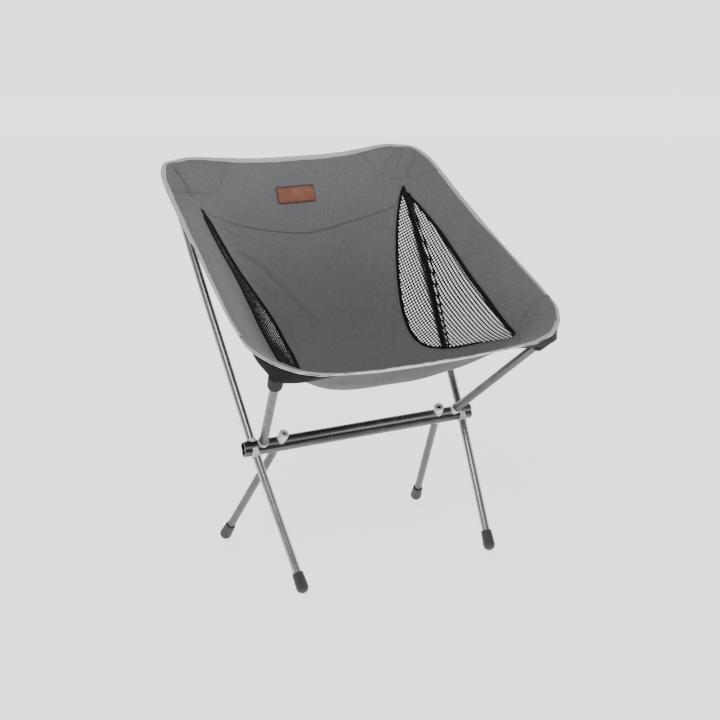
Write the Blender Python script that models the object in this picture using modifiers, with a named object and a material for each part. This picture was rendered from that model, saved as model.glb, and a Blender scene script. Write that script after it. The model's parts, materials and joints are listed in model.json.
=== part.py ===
"""Ultralight backpacking chair: tube poles plugged into one crossbar, and a fabric sling on four tips.

Metres, +Z up. The chair faces -Y, its left and right are at -X and +X, and it stands on z = 0.
"""
import math

import bmesh
import bpy
import numpy as np
from mathutils import Matrix, Vector

MM = 0.001
SIDES = ((-1, "left"), (1, "right"))

# Crossbar: an extrusion of two barrels, one above the other, leaning back.
BAR_HEIGHT = 0.2097
BAR_BACK = -0.020
BAR_HALF_LENGTH = 0.220
BAR_LEAN = math.radians(15)
BARREL_RADIUS = 8.0 * MM
BARREL_OFFSET = 4.7 * MM
BARREL_BORES = (5.9 * MM, 4.9 * MM)

# Pole axes for the right-hand side: where each crosses the bar, and its slope per metre of height.
UPRIGHT_POINT = Vector((0.2018, BAR_BACK, BAR_HEIGHT))
REAR_UPRIGHT_SLOPE = Vector((0.064, 0.651, 1.0))
FRONT_LEG_SLOPE = Vector((-0.107, -0.647, -1.0))
FRONT_UPRIGHT_POINT = Vector((0.1830, -0.0152, BAR_HEIGHT))
FRONT_UPRIGHT_SLOPE = Vector((0.367, -1.095, 1.0))
REAR_LEG_POINT = Vector((0.1542, -0.0163, BAR_HEIGHT))
REAR_LEG_SLOPE = Vector((0.206, 0.668, -1.0))

# Tubes
MAIN_TUBE_RADIUS = 7.0 * MM
LEG_TUBE_RADIUS = 6.5 * MM
TUBE_WALL = 0.9 * MM
SLIP = 0.3 * MM
BUSHING_RADIUS = 8.0 * MM
HOLE_RADIUS = 8.3 * MM
UPRIGHT_JOINT_AT = 0.2594
REAR_TIP_AT = 0.500
REAR_BOW = 0.013
FERRULE_HALF = 0.030
FRONT_TIP_AT = 0.272
FRONT_UPRIGHT_BOTTOM = -0.0088
FRONT_LEG_TOP = 0.0012
REAR_UPRIGHT_BOTTOM = 0.0012
JOINT_GAP = 0.2 * MM                # between an upright's two sections
REAR_LEG_TOP = -0.019
CORD_RADIUS = 1.5 * MM

# Feet: a sleeve with a ball end, cut flat where it stands.
FOOT_BALL_RADIUS = 10.4 * MM
FOOT_BALL_LIFT = 9.5 * MM
FOOT_LENGTH = 34.0 * MM

# Pockets: sleeves sewn under the four corners of the sling.
POCKET_REACH = 50.0 * MM
POCKET_RADIUS = 9.0 * MM

# Sling, as a surface over a (across, -1 to 1) and b (0 at the top rim, 1 at the front rim).
CLOTH = 1.2 * MM
SEAM_GAP = 0.7 * MM
CORNER_GAP = 1.6 * MM
CLOTH_CENTRE = Vector((0.0, 0.0, 0.50))
CLOTH_SCALE = 0.978
BINDING_RADIUS = 1.8 * MM
BINDING_STEP = 7.0 * MM
RIM_STATIONS = (0, .03, .09, .25, .42, .58, .75, .86, .94, .98, 1)
RIM_POINTS = (
    (.200, .238, .655), (.244, .225, .650), (.264, .186, .628), (.270, .109, .581),
    (.274, .025, .534), (.279, -.050, .493), (.284, -.132, .451), (.283, -.175, .430),
    (.264, -.215, .412), (.232, -.241, .398), (.195, -.250, .389))
SPINE_STATIONS = (0, .13, .25, .42, .58, .75, .90, 1)
SPINE_POINTS = (
    (.216, .648), (.188, .580), (.164, .505), (.117, .400),
    (.050, .325), (-.050, .300), (-.150, .328), (-.211, .372))

# Seams on that surface.
REAR_CORNER = (0.44, 0.14, 3.5)     # half width in a, half height in b, squareness
FRONT_CORNER = (0.26, 0.19, 2.6)
MESH_APEX = (0.700, 0.155)
MESH_TOE = (0.745, 0.900)
INNER_MESH_SEAM = ((.155, .700), (.228, .620), (.312, .555), (.430, .490), (.525, .455), (.610, .440),
                   (.652, .450), (.720, .520), (.792, .620), (.860, .690), (.900, .745))
OUTER_MESH_SEAM = ((.155, .700), (.250, .755), (.400, .785), (.625, .787), (.748, .780), (.860, .762),
                   (.900, .745))
REAR_SEAM_END = 0.128               # b where the back leaves the rear corner patch
FRONT_SEAM_ROOM = 0.008             # room in b between side panel and front corner patch
YOKE_TIP = 0.228
YOKE_RISE = 0.018
YOKE_RISE_OVER = 0.35
YOKE_AT = 0.63                      # half width of the cloth where the yoke seam ends
TAPE_SEAM = ((.175, .704), (.262, .685), (.408, .660), (.542, .615), (.700, .530))
TAPE_WIDTH = 11.0 * MM
PATCH_A = (-0.19, 0.08)
PATCH_B = (0.098, 0.145)

PARTS = None
CUTTERS = None


# ---------------------------------------------------------------- helpers

def start():
    """Empty the scene and make the two collections."""
    global PARTS, CUTTERS
    for obj in list(bpy.data.objects):
        bpy.data.objects.remove(obj, do_unlink=True)
    PARTS = bpy.data.collections.new("backpacking_chair")
    CUTTERS = bpy.data.collections.new("cutters")
    bpy.context.scene.collection.children.link(PARTS)
    bpy.context.scene.collection.children.link(CUTTERS)


def material(name, colour, roughness, metallic=0.0):
    """One Principled material, made once."""
    found = bpy.data.materials.get(name)
    if found:
        return found
    made = bpy.data.materials.new(name)
    made.use_nodes = True
    shader = made.node_tree.nodes["Principled BSDF"]
    shader.inputs["Base Color"].default_value = (*colour, 1)
    shader.inputs["Roughness"].default_value = roughness
    shader.inputs["Metallic"].default_value = metallic
    made.diffuse_color = (*colour, 1)
    return made


def finish_of(kind):
    """The finishes of the chair's parts."""
    table = {
        "anodised": ((0.10, 0.10, 0.11), 0.30, 1.0),
        "polished": ((0.30, 0.30, 0.31), 0.25, 1.0),
        "satin": ((0.20, 0.20, 0.19), 0.42, 1.0),
        "bushing": ((0.70, 0.70, 0.67), 0.45, 0.0),
        "rubber": ((0.035, 0.035, 0.037), 0.70, 0.0),
        "cord": ((0.02, 0.02, 0.02), 0.80, 0.0),
        "cloth": ((0.16, 0.16, 0.17), 0.85, 0.0),
        "mesh": ((0.02, 0.02, 0.02), 0.80, 0.0),
        "webbing": ((0.012, 0.012, 0.012), 0.80, 0.0),
        "binding": ((0.55, 0.53, 0.50), 0.80, 0.0),
        "leather": ((0.36, 0.14, 0.07), 0.60, 0.0),
    }
    colour, roughness, metallic = table[kind]
    return material(kind, colour, roughness, metallic)


def add_object(name, mesh, kind, parent=None):
    """Link one part, hang it on its axis and give it its finish."""
    obj = bpy.data.objects.new(name, mesh)
    PARTS.objects.link(obj)
    obj.parent = parent
    if not mesh.materials:
        mesh.materials.append(finish_of(kind))
    return obj


def axis_empty(name, point, slope):
    """An empty on a pole's axis, with its local +Z along the pole, away from the crossbar."""
    empty = bpy.data.objects.new(name, None)
    PARTS.objects.link(empty)
    turn = slope.to_track_quat("Z", "Y").to_matrix().to_4x4()
    empty.matrix_world = Matrix.Translation(point) @ turn
    return empty


def mirrored(vector, side):
    """A right-hand point or slope on the wanted side."""
    return Vector((side * vector.x, vector.y, vector.z))


def turned(name, profile, kind, parent, closed=False, steps=20):
    """A profile of (radius, height) turned about its axis: a ring if closed, else solid to the axis."""
    mesh = bpy.data.meshes.new(name)
    edges = [(i, i + 1) for i in range(len(profile) - 1)]
    if closed:
        edges.append((len(profile) - 1, 0))
    mesh.from_pydata([(r, 0, h) for r, h in profile], edges, [])
    obj = add_object(name, mesh, kind, parent)
    screw = obj.modifiers.new("turn", "SCREW")
    screw.angle = 2 * math.pi
    screw.steps = steps
    screw.render_steps = steps
    screw.use_merge_vertices = True
    screw.merge_threshold = 0.00002
    return obj


def tube_profile(radius, low, high, wall=TUBE_WALL, cuts=1):
    """The closed section of a straight tube, with extra stations for a tube that is bent later."""
    stations = [high + (low - high) * i / cuts for i in range(cuts + 1)]
    outside = [(radius, h) for h in stations]
    return outside + [(radius - wall, h) for h in reversed(stations)]


def applied(obj):
    """Replace an object's mesh by its evaluated mesh."""
    bpy.context.view_layer.update()
    graph = bpy.context.evaluated_depsgraph_get()
    mesh = bpy.data.meshes.new_from_object(obj.evaluated_get(graph))
    obj.modifiers.clear()
    obj.data = mesh
    return obj


def weld(mesh, distance=0.00001):
    """Join the loose caps of a mesh made from a curve."""
    work = bmesh.new()
    work.from_mesh(mesh)
    bmesh.ops.remove_doubles(work, verts=work.verts, dist=distance)
    work.to_mesh(mesh)
    work.free()


def cut(obj, cutter):
    """Boolean difference with the exact solver."""
    modifier = obj.modifiers.new("cut_" + cutter.name, "BOOLEAN")
    modifier.operation = "DIFFERENCE"
    modifier.solver = "EXACT"
    modifier.object = cutter


def cylinder_cutter(name, parent, radius, low, high, sides=20):
    """A wire cylinder along a pole's axis."""
    mesh = bpy.data.meshes.new(name)
    work = bmesh.new()
    bmesh.ops.create_cone(work, cap_ends=True, segments=sides, radius1=radius, radius2=radius,
                          depth=high - low, matrix=Matrix.Translation((0, 0, (low + high) / 2)))
    work.to_mesh(mesh)
    work.free()
    obj = bpy.data.objects.new(name, mesh)
    CUTTERS.objects.link(obj)
    obj.parent = parent
    obj.hide_render = True
    obj.display_type = "WIRE"
    return obj


def rod(name, points, radius, kind, resolution=2):
    """A round rod along points, as a curve with filled caps."""
    curve = bpy.data.curves.new(name, "CURVE")
    curve.dimensions = "3D"
    curve.bevel_depth = radius
    curve.bevel_resolution = resolution
    curve.use_fill_caps = True
    spline = curve.splines.new("POLY")
    spline.points.add(len(points) - 1)
    for target, point in zip(spline.points, points):
        target.co = (*point, 1)
    curve.materials.append(finish_of(kind))
    obj = bpy.data.objects.new(name, curve)
    PARTS.objects.link(obj)
    return obj


def smooth(obj, degrees=40):
    """Shade round pieces smooth, keeping their sharp edges."""
    mesh = obj.data
    mesh.shade_smooth()
    mesh.set_sharp_from_angle(angle=math.radians(degrees))


# ---------------------------------------------------------------- crossbar and its bushings

def barrel_outline(sides=28):
    """Points round the section of two merged barrels, anticlockwise, as (forward, up)."""
    points = []
    for i in range(sides):
        angle = 2 * math.pi * i / sides
        direction = Vector((math.cos(angle), math.sin(angle)))
        along = abs(direction.y) * BARREL_OFFSET
        reach = along + math.sqrt(BARREL_RADIUS ** 2 - BARREL_OFFSET ** 2 + along ** 2)
        points.append(direction * reach)
    return points


def extrusion(name, outline, half_length, collection, kind=None):
    """An outline in the bar's section plane, extruded along X to both sides."""
    curve = bpy.data.curves.new(name, "CURVE")
    curve.dimensions = "2D"
    curve.fill_mode = "BOTH"
    curve.extrude = half_length
    spline = curve.splines.new("POLY")
    spline.points.add(len(outline) - 1)
    spline.use_cyclic_u = True
    for target, point in zip(spline.points, outline):
        target.co = (point.x, point.y, 0, 1)
    shape = bpy.data.objects.new(name + "_outline", curve)
    collection.objects.link(shape)
    shape.matrix_world = (Matrix.Translation((0, BAR_BACK, BAR_HEIGHT)) @ Matrix.Rotation(-BAR_LEAN, 4, "X")
                          @ Matrix(((0, 0, 1, 0), (1, 0, 0, 0), (0, 1, 0, 0), (0, 0, 0, 1))))
    bpy.context.view_layer.update()
    graph = bpy.context.evaluated_depsgraph_get()
    mesh = bpy.data.meshes.new_from_object(shape.evaluated_get(graph))
    weld(mesh)
    obj = bpy.data.objects.new(name, mesh)
    obj.matrix_world = shape.matrix_world.copy()
    collection.objects.link(obj)
    bpy.data.objects.remove(shape, do_unlink=True)
    if kind:
        mesh.materials.clear()
        mesh.materials.append(finish_of(kind))
    return obj


def circle_outline(radius, offset, sides=14):
    """A bore in the bar's section plane."""
    angles = [2 * math.pi * i / sides for i in range(sides)]
    return [Vector((radius * math.cos(t), offset + radius * math.sin(t))) for t in angles]


def crossbar(axes):
    """The double-barrel bar, open at both ends, drilled for its eight poles."""
    bar = extrusion("crossbar", barrel_outline(), BAR_HALF_LENGTH, PARTS, "anodised")
    for radius, sign, label in zip(BARREL_BORES, (1, -1), ("upper", "lower")):
        outline = circle_outline(radius, sign * BARREL_OFFSET)
        bore = extrusion("bore_" + label, outline, BAR_HALF_LENGTH + 0.01, CUTTERS)
        bore.hide_render = True
        bore.display_type = "WIRE"
        cut(bar, bore)
    for side, label in SIDES:
        for kind, low, high in (("rear_upright", -0.001, 0.03), ("front_leg", -0.001, 0.03),
                                ("front_upright", -0.03, 0.03), ("rear_leg", -0.03, 0.03)):
            name = "hole_%s_%s" % (kind, label)
            cut(bar, cylinder_cutter(name, axes[kind, label], HOLE_RADIUS, low, high))
    return bar


def bushings(axes, label):
    """Plastic sleeves that line the bar's holes, each with a flange where its pole comes out."""
    inner = MAIN_TUBE_RADIUS + SLIP
    for kind in ("rear_upright", "front_leg"):
        turned("%s_bushing_%s" % (kind, label),
               [(8.9 * MM, 15.2 * MM), (8.9 * MM, 13.6 * MM), (BUSHING_RADIUS, 13.6 * MM),
                (BUSHING_RADIUS, 0.9 * MM), (inner, 0.9 * MM), (inner, 15.2 * MM)],
               "bushing", axes[kind, label], closed=True)
    turned("front_upright_socket_" + label,
           [(9.2 * MM, 19.0 * MM), (9.2 * MM, 17.4 * MM), (BUSHING_RADIUS, 17.4 * MM), (BUSHING_RADIUS, -11.0 * MM),
            (3.0 * MM, -11.0 * MM), (3.0 * MM, -9.5 * MM), (inner, -9.5 * MM), (inner, 19.0 * MM)],
           "bushing", axes["front_upright", label], closed=True)
    inner = LEG_TUBE_RADIUS + SLIP
    turned("rear_leg_socket_" + label,
           [(9.0 * MM, 13.4 * MM), (9.0 * MM, 11.8 * MM), (BUSHING_RADIUS, 11.8 * MM), (BUSHING_RADIUS, -14.8 * MM),
            (8.6 * MM, -15.4 * MM), (8.6 * MM, -24.0 * MM), (7.8 * MM, -25.0 * MM),
            (4.0 * MM, -25.0 * MM), (4.0 * MM, -20.0 * MM), (inner, -20.0 * MM), (inner, 13.4 * MM)],
           "bushing", axes["rear_leg", label], closed=True)


# ---------------------------------------------------------------- legs and feet

def leg(name, axis, point, slope, radius, kind, start_at, floor_cutter):
    """A leg tube and its rubber foot."""
    ball = (point.z - FOOT_BALL_LIFT) / -slope.normalized().z
    turned(name, tube_profile(radius, start_at, ball - 2.0 * MM), kind, axis, closed=True)
    bore = radius + 0.35 * MM
    top = ball + FOOT_BALL_LIFT - FOOT_LENGTH
    lip = bore + 1.5 * MM
    angles = [math.radians(a) for a in (75, 60, 45, 30, 15, 0)]
    profile = [(0.0, ball + FOOT_BALL_RADIUS)]
    profile += [(FOOT_BALL_RADIUS * math.cos(t), ball + FOOT_BALL_RADIUS * math.sin(t)) for t in angles]
    profile += [(lip + 0.4 * MM, top + 1.0 * MM), (lip, top), (bore, top), (bore, ball - 1.4 * MM),
                (0.0, ball - 1.4 * MM)]
    foot = turned(name.replace("leg", "foot"), profile, "rubber", axis)
    cut(foot, floor_cutter)


# ---------------------------------------------------------------- uprights

def bowed(obj, axis):
    """Bend a rear upright's upper section forward, as the sling's pull does."""
    applied(obj)
    forward = axis.matrix_world.to_3x3().inverted() @ Vector((0, -1, 0))
    forward.z = 0
    forward.normalize()
    span = REAR_TIP_AT - UPRIGHT_JOINT_AT
    for vertex in obj.data.vertices:
        past = max(0.0, vertex.co.z - UPRIGHT_JOINT_AT) / span
        vertex.co += forward * REAR_BOW * past ** 2
    return obj


def cap_profile(radius, end):
    """A domed plug over the end of a tube, its spigot inside the tube."""
    rest = end + 0.3 * MM
    dome = [(0.0, rest + radius * 0.7)]
    for angle in (math.radians(60), math.radians(30), 0.0):
        dome.append((radius * math.cos(angle), rest + radius * 0.7 * math.sin(angle)))
    spigot = radius - TUBE_WALL - SLIP
    return dome + [(spigot, rest), (spigot, end - 9 * MM), (0.0, end - 9 * MM)]


def pocket_profile(tip):
    """A sleeve with a closed end, open towards the crossbar."""
    mouth = tip - POCKET_REACH
    end = tip + 6.5 * MM
    inner = MAIN_TUBE_RADIUS + 0.7 * MM
    return [(0.0, end + 1.5 * MM), (5.5 * MM, end + 0.6 * MM), (POCKET_RADIUS - 1.2 * MM, end - 2.0 * MM),
            (POCKET_RADIUS, end - 6.0 * MM), (POCKET_RADIUS, mouth), (inner, mouth), (inner, end - 4.0 * MM),
            (5.0 * MM, end), (0.0, end)]


def uprights(axes, label):
    """Both uprights of one side, with their ferrule, tip plugs and pockets."""
    rear = axes["rear_upright", label]
    lower = tube_profile(MAIN_TUBE_RADIUS, REAR_UPRIGHT_BOTTOM, UPRIGHT_JOINT_AT - JOINT_GAP)
    ferrule = tube_profile(MAIN_TUBE_RADIUS - TUBE_WALL - SLIP, UPRIGHT_JOINT_AT - FERRULE_HALF,
                           UPRIGHT_JOINT_AT + FERRULE_HALF, cuts=2)
    upper = tube_profile(MAIN_TUBE_RADIUS, UPRIGHT_JOINT_AT + JOINT_GAP, REAR_TIP_AT, cuts=5)
    turned("rear_upright_lower_" + label, lower, "polished", rear, closed=True)
    bowed(turned("ferrule_" + label, ferrule, "satin", rear, closed=True), rear)
    bowed(turned("rear_upright_upper_" + label, upper, "polished", rear, closed=True), rear)
    rear_cap = cap_profile(MAIN_TUBE_RADIUS, REAR_TIP_AT)
    bowed(turned("rear_tip_" + label, rear_cap, "rubber", rear, steps=16), rear)
    bowed(turned("rear_pocket_" + label, pocket_profile(REAR_TIP_AT), "webbing", rear), rear)
    front = axes["front_upright", label]
    shaft = tube_profile(MAIN_TUBE_RADIUS, FRONT_UPRIGHT_BOTTOM, FRONT_TIP_AT)
    turned("front_upright_" + label, shaft, "satin", front, closed=True)
    turned("front_tip_" + label, cap_profile(MAIN_TUBE_RADIUS, FRONT_TIP_AT), "rubber", front, steps=16)
    turned("front_pocket_" + label, pocket_profile(FRONT_TIP_AT), "webbing", front)


def shock_cords(axes, label):
    """Elastic cords in the tubes: one through front leg and rear upright, one in each other pole."""
    leg_axis = axes["front_leg", label].matrix_world
    rear_axis = axes["rear_upright", label].matrix_world
    points = [leg_axis @ Vector((0, 0, h)) for h in (0.205, 0.100, 0.004)]
    points += [rear_axis @ Vector((0, 0, h)) for h in (0.004, 0.120, 0.225)]
    rod("long_shock_cord_" + label, points, CORD_RADIUS, "cord")
    front_axis = axes["front_upright", label].matrix_world
    rear_leg_axis = axes["rear_leg", label].matrix_world
    points = [front_axis @ Vector((0, 0, h)) for h in (0.240, 0.120, -0.0125)]
    rod("front_shock_cord_" + label, points, CORD_RADIUS, "cord")
    points = [rear_leg_axis @ Vector((0, 0, h)) for h in (-0.0235, 0.090, 0.200)]
    rod("rear_shock_cord_" + label, points, CORD_RADIUS, "cord")


# ---------------------------------------------------------------- sling surface

def smooth_curve(stations, values):
    """A monotone cubic through the given values, one column at a time."""
    x = np.array(stations, float)
    y = np.array(values, float).reshape(len(x), -1)
    step = np.diff(x)
    slope = np.diff(y, axis=0) / step[:, None]
    tangent = np.zeros_like(y)
    tangent[0] = slope[0]
    tangent[-1] = slope[-1]
    for i in range(1, len(x) - 1):
        w1 = 2 * step[i] + step[i - 1]
        w2 = step[i] + 2 * step[i - 1]
        for k in range(y.shape[1]):
            if slope[i - 1, k] * slope[i, k] > 0:
                tangent[i, k] = (w1 + w2) / (w1 / slope[i - 1, k] + w2 / slope[i, k])

    def value(at):
        i = min(max(int(np.searchsorted(x, at)) - 1, 0), len(step) - 1)
        t = (at - x[i]) / step[i]
        return ((1 + 2 * t) * (1 - t) ** 2 * y[i] + t * (1 - t) ** 2 * step[i] * tangent[i]
                + t * t * (3 - 2 * t) * y[i + 1] + t * t * (t - 1) * step[i] * tangent[i + 1])
    return value


RIM = smooth_curve(RIM_STATIONS, RIM_POINTS)
SPINE = smooth_curve(SPINE_STATIONS, SPINE_POINTS)
INNER_SEAM = smooth_curve(*zip(*INNER_MESH_SEAM))
OUTER_SEAM = smooth_curve(*zip(*OUTER_MESH_SEAM))
TAPE = smooth_curve(*zip(*TAPE_SEAM))


def sling(a, b):
    """A point of the sling: its section sags from the side rims to the spine."""
    rim = RIM(b)
    spine = SPINE(b)
    ramp = min(max((b - 0.45) / 0.5, 0.0), 1.0)
    ramp = ramp * ramp * (3 - 2 * ramp)
    squareness = 3.3 - 0.3 * min(b / 0.4, 1.0)
    sag = max(0.0, 1 - abs(a) ** squareness) ** (2.2 - 0.6 * ramp)
    return Vector((rim[0] * a, rim[1] + (spine[0] - rim[1]) * sag, rim[2] + (spine[1] - rim[2]) * sag))


def sling_normal(a, b):
    """The sling's normal on the side that the sitter uses."""
    step = 0.004
    a = min(max(a, -1 + step), 1 - step)
    b = min(max(b, step), 1 - step)
    along_a = sling(a + step, b) - sling(a - step, b)
    along_b = sling(a, b + step) - sling(a, b - step)
    return along_a.cross(along_b).normalized() * -1


def yoke(a):
    """The seam between the back's upper and lower cloth, a shallow V."""
    return YOKE_TIP - YOKE_RISE * min(abs(a) / YOKE_RISE_OVER, 1.0)


def between(start, end, t):
    return start + (end - start) * t


def rear_corner_width(b):
    """Where the rear corner patch's seam lies at a height b above the mesh."""
    half_a, half_b, power = REAR_CORNER
    return 1 - half_a * (1 - (b / half_b) ** power) ** (1 / power)


def front_corner_width(b):
    """Where the front corner patch's seam lies at b near the front rim."""
    half_a, half_b, power = FRONT_CORNER
    return 1 - half_a * max(0.0, 1 - ((1 - b) / half_b) ** power) ** (1 / power)


def back_edge(b):
    """Half width of the back cloth: the corner patch's seam, then the seam to the mesh."""
    if b <= REAR_SEAM_END:
        return rear_corner_width(b)
    if b <= MESH_APEX[1]:
        return between(rear_corner_width(REAR_SEAM_END), MESH_APEX[0],
                       (b - REAR_SEAM_END) / (MESH_APEX[1] - REAR_SEAM_END))
    return INNER_SEAM(b)[0]


def seat_edge(b):
    """Half width of the seat cloth: the mesh's inner seam, then the front corner patch's seam."""
    if b <= MESH_TOE[1]:
        return INNER_SEAM(b)[0]
    return between(MESH_TOE[0], front_corner_width(1.0), (b - MESH_TOE[1]) / (1 - MESH_TOE[1]))


# ---------------------------------------------------------------- sling solids

def rim_inward(a, b):
    """At a place on the rim, the direction along the cloth and square to the rim."""
    here = sling(a, b)
    if abs(a) >= 0.999 and 0.001 < b < 0.999:
        tangent = sling(a, min(b + 0.004, 1.0)) - sling(a, max(b - 0.004, 0.0))
    else:
        tangent = sling(min(a + 0.01, 1.0), b) - sling(max(a - 0.01, -1.0), b)
    inner = sling(a * 0.93, 0.5 + (b - 0.5) * 0.93) - here
    tangent.normalize()
    return (inner - tangent * inner.dot(tangent)).normalized()


def cloth_place(a, b, lift=0.0):
    """A place on the cloth, which is drawn in from the rim to leave room for the binding."""
    return CLOTH_CENTRE + (sling(a, b) - CLOTH_CENTRE) * CLOTH_SCALE + sling_normal(a, b) * lift


def cloth_solid(name, grid, kind, lift=0.0, thickness=CLOTH, gap=SEAM_GAP):
    """A grid of (a, b) places on the sling, made a closed sheet of cloth that stops short of its seams."""
    rows = len(grid)
    columns = len(grid[0])
    points = [[cloth_place(a, b, lift) for a, b in row] for row in grid]
    trimmed = [[p.copy() for p in row] for row in points]
    for i in range(rows):
        for j in range(columns):
            steps = [(1, 0)] * (i == 0) + [(-1, 0)] * (i == rows - 1)
            steps += [(0, 1)] * (j == 0) + [(0, -1)] * (j == columns - 1)
            for di, dj in steps:
                trimmed[i][j] += (points[i + di][j + dj] - points[i][j]).normalized() * gap
    faces = []
    for i in range(rows - 1):
        for j in range(columns - 1):
            k = i * columns + j
            faces.append((k, k + columns, k + columns + 1, k + 1))
    mesh = bpy.data.meshes.new(name)
    mesh.from_pydata([p for row in trimmed for p in row], [], faces)
    obj = add_object(name, mesh, kind)
    shell = obj.modifiers.new("cloth", "SOLIDIFY")
    shell.thickness = thickness
    shell.offset = 0
    smooth(obj)
    return obj


def span_grid(width_at, ends_at, rows, columns):
    """A grid across the whole sling whose half width follows a seam."""
    grid = []
    for i in range(rows + 1):
        row = []
        for j in range(columns + 1):
            s = 2 * j / columns - 1
            low, high = ends_at(s)
            b = between(low, high, i / rows)
            row.append((s * width_at(b), b))
        grid.append(row)
    return grid


def strip_grid(side, inner, outer, low, high, rows, columns):
    """A grid on one side, between two seams given as functions of b."""
    grid = []
    for i in range(rows + 1):
        b = between(low, high, i / rows)
        grid.append([(side * between(inner(b), outer(b), j / columns), b) for j in range(columns + 1)])
    return grid


def corner_height(corner, a):
    """How far a corner patch's seam lies from the top or front rim."""
    half_a, half_b, power = corner
    return half_b * max(0.0, 1 - ((1 - a) / half_a) ** power) ** (1 / power)


def side_grid(side, rows=18, columns=6):
    """The side panel: from the rear corner patch to the front one, between the mesh and the rim."""
    seam_ends = (REAR_SEAM_END, 1 - corner_height(FRONT_CORNER, MESH_TOE[0]) - FRONT_SEAM_ROOM)
    grid = []
    for i in range(rows + 1):
        seam_b = between(*seam_ends, i / rows)
        inner = OUTER_SEAM(min(max(seam_b, MESH_APEX[1]), MESH_TOE[1]))[0]
        row = []
        for j in range(columns + 1):
            p = j / columns
            top = corner_height(REAR_CORNER, between(MESH_APEX[0], 1.0, p))
            low = 1 - corner_height(FRONT_CORNER, between(MESH_TOE[0], 1.0, p)) - FRONT_SEAM_ROOM
            row.append((side * between(inner, 1.0, p), between(top, low, i / rows)))
        grid.append(row)
    return grid


def corner_grid(side, corner, at_front, count=8):
    """A corner patch: squares that swell into the rounded seam."""
    half_a, half_b, power = corner
    grid = []
    for i in range(count + 1):
        row = []
        for j in range(count + 1):
            p = i / count
            q = j / count
            reach = max(p, q)
            scale = reach / (p ** power + q ** power) ** (1 / power) if reach else 0.0
            a = 1 - half_a * p * scale
            b = half_b * q * scale
            row.append((side * a, 1 - b if at_front else b))
        grid.append(row)
    return grid


def rim_path(start_at, corner_at, end_at, count):
    """Places along the rim, by way of a corner of the (a, b) square where there is one."""
    legs = [(start_at, end_at)] if corner_at is None else [(start_at, corner_at), (corner_at, end_at)]
    places = []
    for first, last in legs:
        steps = max(1, round(count / len(legs)))
        places += [tuple(between(u, v, i / steps) for u, v in zip(first, last)) for i in range(steps)]
    return places + [end_at]


def binding(name, places):
    """A length of the rim's edge binding."""
    points = [sling(*place) + rim_inward(*place) * BINDING_RADIUS for place in places]
    kept = [points[0]]
    for point in points[1:]:
        if (point - kept[-1]).length > BINDING_STEP:
            kept.append(point)
    kept[0] += (kept[1] - kept[0]).normalized() * SEAM_GAP
    kept[-1] += (kept[-2] - kept[-1]).normalized() * SEAM_GAP
    return rod(name, kept, BINDING_RADIUS, "binding", resolution=1)


def sling_cloth():
    """Back, seat, mesh, side and corner cloth."""
    cloth_solid("back_panel", span_grid(back_edge, lambda s: (0.0, yoke(s * YOKE_AT)), 9, 16), "cloth")
    cloth_solid("seat_panel", span_grid(seat_edge, lambda s: (yoke(s * YOKE_AT), 1.0), 24, 14), "cloth")
    for side, label in SIDES:
        cloth_solid("mesh_panel_" + label,
                    strip_grid(side, lambda b: INNER_SEAM(b)[0], lambda b: OUTER_SEAM(b)[0],
                               MESH_APEX[1] + 0.012, MESH_TOE[1] - 0.012, 20, 4), "mesh")
        cloth_solid("side_panel_" + label, side_grid(side), "cloth")
        cloth_solid("rear_corner_" + label, corner_grid(side, REAR_CORNER, False), "cloth", gap=CORNER_GAP)
        cloth_solid("front_corner_" + label, corner_grid(side, FRONT_CORNER, True), "cloth", gap=CORNER_GAP)


def sling_trim():
    """Edge binding, seam tapes and the blank leather patch."""
    rear_a = 1 - REAR_CORNER[0]
    rear_b = REAR_CORNER[1]
    front_a = 1 - FRONT_CORNER[0]
    front_b = 1 - FRONT_CORNER[1]
    binding("binding_top", rim_path((-rear_a, 0.0), None, (rear_a, 0.0), 10))
    binding("binding_front", rim_path((-front_a, 1.0), None, (front_a, 1.0), 12))
    for side, label in SIDES:
        rear = rim_path((side * rear_a, 0.0), (side, 0.0), (side, rear_b), 60)
        front = rim_path((side, front_b), (side, 1.0), (side * front_a, 1.0), 60)
        binding("binding_rear_corner_" + label, rear)
        binding("binding_side_" + label, rim_path((side, rear_b), None, (side, front_b), 16))
        binding("binding_front_corner_" + label, front)
        half = TAPE_WIDTH / 2 / RIM(0.4)[0]
        tape = strip_grid(side, lambda b: TAPE(b)[0] - half, lambda b: TAPE(b)[0] + half,
                          TAPE_SEAM[0][0], TAPE_SEAM[-1][0], 14, 1)
        cloth_solid("seam_tape_" + label, tape, "webbing", lift=2.8 * MM, thickness=0.8 * MM)
    patch = [[(between(*PATCH_A, j / 6), between(*PATCH_B, i / 4)) for j in range(7)] for i in range(5)]
    cloth_solid("leather_patch", patch, "leather", lift=1.7 * MM)


def pole_axes():
    """An empty on every pole's axis."""
    poles = {
        "rear_upright": (UPRIGHT_POINT, REAR_UPRIGHT_SLOPE),
        "front_leg": (UPRIGHT_POINT, FRONT_LEG_SLOPE),
        "front_upright": (FRONT_UPRIGHT_POINT, FRONT_UPRIGHT_SLOPE),
        "rear_leg": (REAR_LEG_POINT, REAR_LEG_SLOPE),
    }
    axes = {}
    for side, label in SIDES:
        for kind, (point, slope) in poles.items():
            name = "%s_axis_%s" % (kind, label)
            axes[kind, label] = axis_empty(name, mirrored(point, side), mirrored(slope, side))
    bpy.context.view_layer.update()
    return axes


def ground_cutter():
    """A block below the floor that cuts the feet flat."""
    mesh = bpy.data.meshes.new("ground")
    work = bmesh.new()
    bmesh.ops.create_cube(work, size=1.0, matrix=Matrix.Translation((0, 0, -0.5)))
    work.to_mesh(mesh)
    work.free()
    block = bpy.data.objects.new("ground", mesh)
    CUTTERS.objects.link(block)
    block.hide_render = True
    block.display_type = "WIRE"
    return block


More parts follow.
